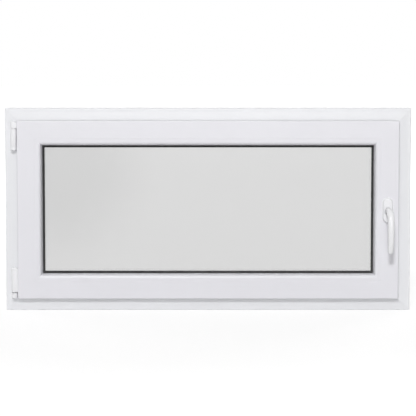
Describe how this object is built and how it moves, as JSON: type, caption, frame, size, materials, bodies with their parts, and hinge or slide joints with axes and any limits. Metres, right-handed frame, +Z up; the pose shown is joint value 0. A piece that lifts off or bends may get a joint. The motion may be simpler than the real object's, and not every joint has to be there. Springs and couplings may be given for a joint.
{
  "type": "basement window",
  "caption": "White plastic basement window with an inward-opening tilt-and-turn sash, double glazing, hinges on one side and a lever handle on the other.",
  "frame": {"origin": "middle of the sill's underside, half way through the frame's depth", "axes": "+X to the right as seen from the room, +Y outdoors, +Z up"},
  "size_m": [1, 0.1468, 0.5],
  "materials": {
    "white_profile": "satin white",
    "white_cap": "moulded white",
    "black_rubber": "matt black",
    "clear_glass": "clear float glass",
    "spacer_metal": "mill finish",
    "hinge_steel": "zinc plated",
    "white_lever": "white powder coat"
  },
  "bodies": {
    "window": {"frame_sill": "white_profile", "frame_head": "white_profile", "frame_jamb_left": "white_profile", "frame_jamb_right": "white_profile", "sash_bottom_rail": "white_profile", "sash_top_rail": "white_profile", "sash_hinge_stile": "white_profile", "sash_lock_stile": "white_profile", "bead_bottom": "white_profile", "bead_top": "white_profile", "bead_left": "white_profile", "bead_right": "white_profile", "drain_cap_left": "white_cap", "drain_cap_right": "white_cap", "upper_hinge_bearing": "white_cap", "upper_hinge_eye": "white_cap", "lower_hinge_bearing": "white_cap", "lower_hinge_knuckle": "white_cap", "handle_rosette": "white_cap", "handle_collar": "white_cap", "frame_seal": "black_rubber", "sash_seal": "black_rubber", "gasket_room": "black_rubber", "gasket_outside": "black_rubber", "glass_pane_room": "clear_glass", "glass_pane_outside": "clear_glass", "glass_spacer": "spacer_metal", "upper_hinge_pin": "hinge_steel", "lower_hinge_pin": "hinge_steel"},
    "handle": {"handle_lever": "white_lever"}
  },
  "joints": [
    {"name": "handle_turn", "type": "hinge", "parent": "window", "child": "handle", "pos_m": [0.442, -0.0515, 0.25], "axis": [0, 1, 0], "range_deg": [0, 180]}
  ]
}
